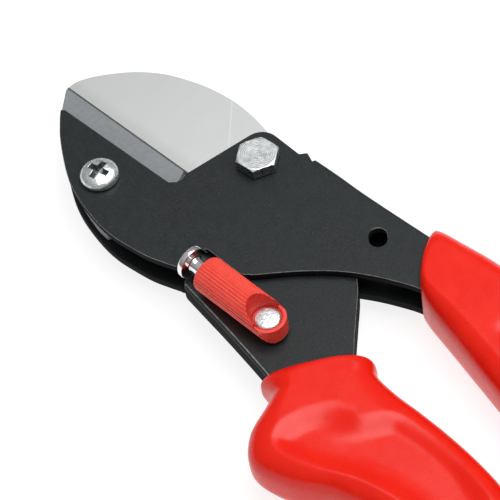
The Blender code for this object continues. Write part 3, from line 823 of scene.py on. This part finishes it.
def blade():
    back = smooth([(-56.15, -24.3), (-56.05, -22.0), (-54.3, -16.95), (-49.95, -9.25), (-44.45, -3.2),
                   (-38.1, 1.2), (-32.2, 4.3), (-24.75, 6.9), (-16.85, 8.25), (-9.4, 8.45), (-2.4, 7.6),
                   (5.6, 5.3), (13.6, 3.1)])
    corners = [(*HEEL, 0.0), (-0.4, -14.9), (16.6, -14.3, 2.0), (16.6, 2.3, 1.5)]
    corners += back[::-1]
    corners += [(*on_jaw_line(JAW_LENGTH), 0.3)]
    plate = draft(prism(rounded(corners), -BLADE_HALF, BLADE_HALF))
    drill(plate, (0.0, 0.0), BUSH_RADIUS + FIT, -THROUGH, THROUGH)
    for at in BLADE_RIVETS:
        drill(plate, at, BLADE_RIVET_RADIUS + FIT, -THROUGH, THROUGH)
    soften(plate, 0.12, 2)
    for wedge in EDGE_CUTS:
        combine(plate, skin([[(*on_jaw_line(distance, -rise), z) for rise, z in wedge]
                             for distance in (-1.0, JAW_LENGTH + 6.0)]))
    finished("blade_plate", plate, TOOL, "blade_side", "blade_steel", STEEL, "blade", sharp=5.0)


def latch_rivet():
    radius, height = LATCH_RIVET_HEAD
    seat = RIVET_SEAT
    tail = -HALF_B - FIT
    profile = [(0.05, tail - 1.3), (1.6, tail - 1.25), (2.6, tail - 1.0), (3.1, tail - 0.5), (3.2, tail)]
    profile += [(LATCH_RIVET_RADIUS, tail), (LATCH_RIVET_RADIUS, seat), (radius, seat)]
    profile += [(wide * radius, seat + rise * height)
                for wide, rise in ((1.0, 0.35), (0.96, 0.6), (0.86, 0.8), (0.7, 0.92), (0.4, 0.98))]
    profile.append((0.05, seat + height))
    place = TOOL @ Matrix.Translation((*LATCH_RIVET, 0.0))
    finished("latch_rivet_turned", turned(profile), place, "blade_side", "zinc_plate", ZINC_DENTED,
             "latch_rivet")


# ---------------------------------------------------------------- latch

RIBS = 34
RIB_DEPTH = 0.24
HOLLOW_SHADE_REACH = 5.4      # how far from the rivet the dish takes the painted shade
# (radius, height) of the dished seat for the rivet's head
SCOOP = [(0.05, 7.9), (3.45, 7.9), (3.65, 8.0), (3.75, 8.3), (3.85, 9.1), (4.1, 9.8), (4.5, 10.8),
         (4.9, 11.8), (5.3, 13.5)]
LATCH_END_TOP = 8.95


def sleeve_ring(along, inset=0.0):
    """A section of the ribbed bar, flat below."""
    per_rib = 6
    ring = []
    for k in range(RIBS * per_rib):
        angle = 2 * math.pi * k / (RIBS * per_rib)
        valley = abs(math.cos(RIBS * angle / 2)) ** 6
        radius = SLEEVE_RADIUS - inset - RIB_DEPTH * valley
        height = LATCH_AXIS_Z + radius * math.sin(angle)
        ring.append((along, radius * math.cos(angle), max(height, SLEEVE_FLAT_Z)))
    return ring


def latch_sleeve():
    places = [-7.0, SLEEVE_MOUTH - 0.9, SLEEVE_MOUTH - 0.4, SLEEVE_MOUTH - 0.12, SLEEVE_MOUTH]
    insets = [0.0, 0.0, 0.12, 0.4, 0.8]
    sleeve = draft(skin([sleeve_ring(s, i) for s, i in zip(places, insets)]))
    width = SLEEVE_RADIUS + 0.02
    end = [(-width * math.sin(a), width * math.cos(a))
           for a in (math.pi * k / 32 for k in range(33))]
    combine(sleeve, prism(end + [(SLEEVE_MOUTH + 3, -width), (SLEEVE_MOUTH + 3, width)],
                          SLEEVE_FLAT_Z - 1, 20.0), "INTERSECT")
    combine(sleeve, prism([(-8.0, -6.1), (0.3, -6.1), (0.3, 6.1), (-8.0, 6.1)], LATCH_END_TOP, 20.0))
    combine(sleeve, turned(SCOOP))
    drill(sleeve, (0.0, 0.0), LATCH_RIVET_RADIUS + FIT, 0, THROUGH)
    bore = along_x(turned([(LATCH_PIN_RADIUS + FIT, LATCH_PIN_START - FIT),
                           (LATCH_PIN_RADIUS + FIT, SLEEVE_MOUTH + 5)]))
    combine(sleeve, moved(bore, z=LATCH_AXIS_Z))
    soften(sleeve, 0.14, 2, 50.0)
    finished("latch_sleeve_ribbed", sleeve, LATCH, "latch", "latch_plastic", LATCH_RED, "latch_sleeve")
    sleeve.data.materials.append(LATCH_HOLLOW_SHADE)
    # the dish's inward faces above the axis take the deeper red, painted shade
    for face in sleeve.data.polygons:
        at = LATCH.inverted() @ face.center
        normal = LATCH.to_3x3().inverted() @ face.normal
        inward = normal.x * at.x + normal.y * at.y < 0
        dished = math.hypot(at.x, at.y) < HOLLOW_SHADE_REACH
        if inward and dished and at.x > 0 and at.z > LATCH_AXIS_Z:
            face.material_index = 1


def latch_pin():
    radius, inner, outer = LATCH_DISC
    neck = LATCH_PIN_RADIUS
    profile = [(neck, LATCH_PIN_START), (neck, inner - 0.6)]
    profile += [(neck + 0.1, inner - 0.25), (neck + 0.5, inner), (radius - 0.4, inner)]
    profile += [(radius - 0.1, inner + 0.12), (radius, inner + 0.4), (radius, outer - 0.9)]
    profile += [(radius - 0.15, outer - 0.5), (radius - 0.6, outer - 0.2), (0.6 * radius, outer - 0.05),
                (0.05, outer)]
    pin = moved(along_x(turned(profile)), z=LATCH_AXIS_Z)
    finished("latch_pin_turned", pin, LATCH, "latch", "chrome_plate", CHROME, "latch_pin")


# ---------------------------------------------------------------- grips

GRIP_COUNT = 96
GRIP_SOFTNESS = 0.62    # 1 would make the section an ellipse, 0 a rectangle
GRIP_END = 6.0          # length of the round end
LEAN_RINGS = 16         # over which the mouth's lean dies away
PANEL_FLOOR = 5.0       # only points this far from the mid-plane are sunk
PANEL_DEPTH = 1.8
PANEL_EASE = 5.6        # width of the slope round the sunk panel


def grip_ring(low, high, half, inset=0.0, lean=Vector((0.0, 0.0))):
    """A section of the grip: a soft rectangle with flat faces, whose middle may lean out."""
    low, high = Vector(low), Vector(high)
    centre = (low + high) / 2
    side = (high - low) / 2
    side *= (side.length - inset) / side.length
    ring = []
    for k in range(GRIP_COUNT):
        angle = 2 * math.pi * k / GRIP_COUNT
        across = math.copysign(abs(math.cos(angle)) ** GRIP_SOFTNESS, math.cos(angle))
        rise = math.copysign(abs(math.sin(angle)) ** GRIP_SOFTNESS, math.sin(angle)) * half
        rise = max(-GRIP_FLAT, min(GRIP_FLAT, rise))
        rise -= math.copysign(min(inset, abs(rise)), rise)
        point = centre + side * across + lean * (1 - across * across)
        ring.append((point.x, point.y, rise))
    return ring


def sunk(rings, border, depth, ease):
    """Lowers the front and rear faces inside a closed border, with an easy slope."""
    edges = [(Vector(a), Vector(b)) for a, b in zip(border, border[1:] + border[:1])]

    def inside(point):
        crossings = 0
        for a, b in edges:
            if (a.y > point.y) != (b.y > point.y):
                crossings += point.x < a.x + (point.y - a.y) / (b.y - a.y) * (b.x - a.x)
        return crossings % 2 == 1

    def distance(point):
        best = 1e9
        for a, b in edges:
            t = max(0.0, min(1.0, (point - a).dot(b - a) / (b - a).length_squared))
            best = min(best, (a + (b - a) * t - point).length)
        return best

    result = []
    for ring in rings:
        row = []
        for x, y, z in ring:
            point = Vector((x, y))
            if abs(z) > PANEL_FLOOR and inside(point):
                t = min(distance(point) / ease, 1.0)
                z -= math.copysign(depth * t * t * (3 - 2 * t), z)
            row.append((x, y, z))
        result.append(row)
    return result


def grip(name, low_edge, high_edge, rim_half, mouth_lean, panel, pocket, pocket_half, body, replaced):
    """A dipped sleeve with a rounded mouth, a swelling rim, a round end and a pocket for the tang."""
    last = len(low_edge) - 1
    mouth = Vector(high_edge[0]) - Vector(low_edge[0])
    lean = Vector((-mouth.y, mouth.x)).normalized() * mouth_lean
    rings = [grip_ring(low_edge[0], high_edge[0], rim_half, inset, lean) for inset in (1.3, 0.6)]
    swell_length = (last + 1) / 10
    for k, (low, high) in enumerate(zip(low_edge, high_edge)):
        swell = min(k / swell_length, 1.0)
        half = rim_half + (GRIP_HALF - rim_half) * math.sin(swell * math.pi / 2)
        rings.append(grip_ring(low, high, half, 0.2 if k == 0 else 0.0, lean * max(1 - k / LEAN_RINGS, 0.0)))
    low, high = Vector(low_edge[last]), Vector(high_edge[last])
    ahead = (low - Vector(low_edge[last - 1]) + high - Vector(high_edge[last - 1])).normalized()
    centre = (low + high) / 2
    for angle in (math.radians(a) for a in (8, 16, 24, 32, 40, 48, 56, 64, 72, 79)):
        shrink = math.cos(angle) ** 0.8
        push = ahead * (math.sin(angle) * GRIP_END)
        rings.append(grip_ring(centre + (low - centre) * shrink + push,
                               centre + (high - centre) * shrink + push, GRIP_HALF * shrink))
    sleeve = draft(skin(sunk(rings, panel, PANEL_DEPTH, PANEL_EASE)))
    combine(sleeve, prism(pocket, -pocket_half, pocket_half))
    finished(name, sleeve, TOOL, body, "red_pvc", RED, replaced, sharp=60.0, weighted=False)


def grip_upper():
    low = smooth([(58.6, 10.1), (63.6, 9.6), (71.6, 9.4), (87.6, 9.1), (105.6, 8.9), (123.6, 8.7),
                  (140.1, 8.5)], 12)
    high = smooth([(43.9, 24.7), (51.4, 27.3), (63.6, 31.2), (81.6, 34.1), (100.6, 34.9), (121.6, 32.3),
                   (140.1, 27.3)], 12)
    panel = smooth([(81.6, 15.7), (77.6, 21.7), (83.6, 27.7), (101.6, 28.9), (121.6, 26.5), (135.6, 21.7),
                    (135.6, 15.7), (121.6, 13.9), (101.6, 13.7)], 6, closed=True)
    spine = [p for p in SPINE_A if p[0] > 37.6]
    belly = [p for p in THROAT_A if p[0] > 44.6]
    pocket = shifted(belly, -GRIP_POCKET) + [(TANG_END + GRIP_POCKET, belly[-1][1] - GRIP_POCKET)]
    pocket += [(TANG_END + GRIP_POCKET, spine[-1][1] + GRIP_POCKET)] + shifted(spine, GRIP_POCKET)[::-1]
    grip("grip_upper_dipped", low, high, 7.6, 1.4, panel, pocket, HALF_A + GRIP_POCKET, "anvil_side",
         "grip_upper")


def grip_lower():
    low = smooth([(55.9, -34.1), (61.3, -34.1), (63.9, -37.6), (68.1, -44.4), (75.0, -47.6), (84.6, -43.5),
                  (94.6, -35.7), (109.6, -29.7), (125.6, -27.9), (140.1, -27.1)], 10)
    high = smooth([(64.8, -11.3), (67.8, -9.1), (71.8, -10.5), (78.6, -9.6), (86.6, -7.6), (95.6, -5.8),
                   (105.6, -4.5), (115.6, -4.2), (127.6, -5.5), (140.1, -7.9)], 10)
    panel = smooth([(72.2, -40.8), (70.8, -35.0), (71.5, -29.2), (73.8, -24.8), (77.6, -22.0),
                    (80.6, -21.4), (82.2, -17.4), (84.6, -12.9), (90.4, -10.1), (98.0, -8.3), (107.6, -7.6),
                    (122.6, -9.8), (134.6, -12.8), (137.6, -17.3), (134.6, -22.3), (122.6, -24.1),
                    (107.6, -25.8), (95.6, -30.8), (85.6, -38.3), (77.6, -42.3)], 4, closed=True)
    spine = [p for p in SPINE_B if p[0] > 45.6]
    top = [p for p in TOP_B if p[0] > 55.6]
    pocket = shifted(spine, -GRIP_POCKET) + [(TANG_END + GRIP_POCKET, spine[-1][1] - GRIP_POCKET)]
    pocket += [(TANG_END + GRIP_POCKET, top[0][1] + GRIP_POCKET)] + shifted(top, -GRIP_POCKET)
    grip("grip_lower_dipped", low, high, 6.0, 0.8, panel, pocket, HALF_B + GRIP_POCKET, "blade_side",
         "grip_lower")


# ---------------------------------------------------------------- carried-over CAD pieces

CAD_MERGE = 0.000005    # metres
# The finish of each, and the width of its eased edges
KEPT = {
    "anvil_washer": (ZINC, 0.12), "pivot_washer": (ZINC, 0.12), "latch_washer": (ZINC, 0.08),
    "pivot_bush": (STEEL, 0.1), "blade_rivet_1": (ZINC, 0.15), "blade_rivet_2": (ZINC, 0.15),
    "spring_seat_upper": (NYLON, 0.12), "spring_seat_lower": (NYLON, 0.12),
}


def kept_pieces():
    for name, (finish, width) in KEPT.items():
        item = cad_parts[name]
        item.material_slots[0].link = "OBJECT"
        item.material_slots[0].material = finish
        weld = item.modifiers.new("weld", "WELD")
        weld.merge_threshold = CAD_MERGE
        step = item.modifiers.new("soften", "BEVEL")
        step.width = width * MM
        step.segments = 2
        step.limit_method = "ANGLE"
        step.angle_limit = math.radians(50)


# ---------------------------------------------------------------- studio

AIM = TOOL @ Vector((18.64, -14.57, 0.0))
AZIMUTH = math.radians(68.0)
ELEVATION = math.radians(52.0)
ROLL = math.radians(-11.53)
DISTANCE = 0.5887       # metres
LENS = 171.07
KEY_DIRECTION = (0.12, 0.27, 0.95)
KEY_DISTANCE = 0.85     # metres, like the next line
KEY_SIZE = (0.8, 0.68)
KEY_RADIANCE = 4.3
FLOOR_REACH = 3000      # millimetres
FLOOR_GLOW = 0.84       # keeps the pale floor white under the object
WORLD_LOW = 0.12        # brightness of the surroundings at the horizon
WORLD_HIGH = 0.45       # and overhead


def studio():
    back = Vector((math.sin(AZIMUTH) * math.cos(ELEVATION), -math.cos(AZIMUTH) * math.cos(ELEVATION),
                   math.sin(ELEVATION)))
    data = bpy.data.cameras.new("camera")
    data.lens = LENS
    data.clip_start = 0.01
    camera = bpy.data.objects.new("camera", data)
    bpy.context.scene.collection.objects.link(camera)
    camera.rotation_mode = "QUATERNION"
    camera.location = AIM + back * DISTANCE
    facing = (-back).to_track_quat("-Z", "Y") @ Quaternion((0, 0, 1), ROLL)
    camera.rotation_quaternion = facing
    bpy.context.scene.camera = camera

    def softbox(name, direction, distance, size, radiance):
        """A rectangular light in a direction from the tool, in metres, aimed at it."""
        lamp = bpy.data.lights.new(name, "AREA")
        lamp.shape = "RECTANGLE"
        lamp.size, lamp.size_y = size
        lamp.energy = radiance * math.pi * size[0] * size[1]
        item = bpy.data.objects.new(name, lamp)
        bpy.context.scene.collection.objects.link(item)
        item.location = AIM + Vector(direction).normalized() * distance
        item.rotation_mode = "QUATERNION"
        item.rotation_quaternion = (AIM - item.location).to_track_quat("-Z", "Y")

    softbox("key", KEY_DIRECTION, KEY_DISTANCE, KEY_SIZE, KEY_RADIANCE)

    world = bpy.data.worlds.new("studio")
    world.use_nodes = True
    tree = world.node_tree
    direction = tree.nodes.new("ShaderNodeTexCoord").outputs["Generated"]
    split = tree.nodes.new("ShaderNodeSeparateXYZ")
    tree.links.new(direction, split.inputs["Vector"])
    rise = tree.nodes.new("ShaderNodeMapRange")
    rise.inputs["From Max"].default_value = 0.9
    rise.inputs["To Min"].default_value = WORLD_LOW
    rise.inputs["To Max"].default_value = WORLD_HIGH
    tree.links.new(split.outputs["Z"], rise.inputs["Value"])
    tree.links.new(rise.outputs["Result"], tree.nodes["Background"].inputs["Strength"])
    tree.nodes["Background"].inputs["Color"].default_value = (1.0, 1.0, 1.0, 1.0)
    bpy.context.scene.world = world

    floor_shape = bmesh.new()
    bmesh.ops.create_grid(floor_shape, x_segments=1, y_segments=1, size=FLOOR_REACH)
    floor = draft(floor_shape)
    floor.name = "floor"
    floor.data.transform(Matrix.Scale(MM, 4))
    paper = Finish("paper", (0.22, 0.22, 0.22), 0.9, Emission_Color=(1.0, 1.0, 1.0, 1.0),
                   Emission_Strength=FLOOR_GLOW)
    paper.tint(paper.noise(30.0), (0.24, 0.24, 0.24))
    floor.data.materials.append(paper.material)

    bpy.context.scene.view_settings.view_transform = "Standard"


anvil_lever()
anvil()
anvil_screw()
pivot_bolt()
hex_nut("pivot_lock_nut", (0.0, 0.0), PIVOT_NUT, BOLT_RADIUS, PIVOT_WASHER, "pivot_nut")
hex_nut("anvil_lock_nut", SCREW_AT, SCREW_NUT, SCREW_RADIUS, SCREW_WASHER, "anvil_nut")
return_spring()
blade_lever()
blade()
latch_rivet()
latch_sleeve()
latch_pin()
grip_upper()
grip_lower()
kept_pieces()
studio()
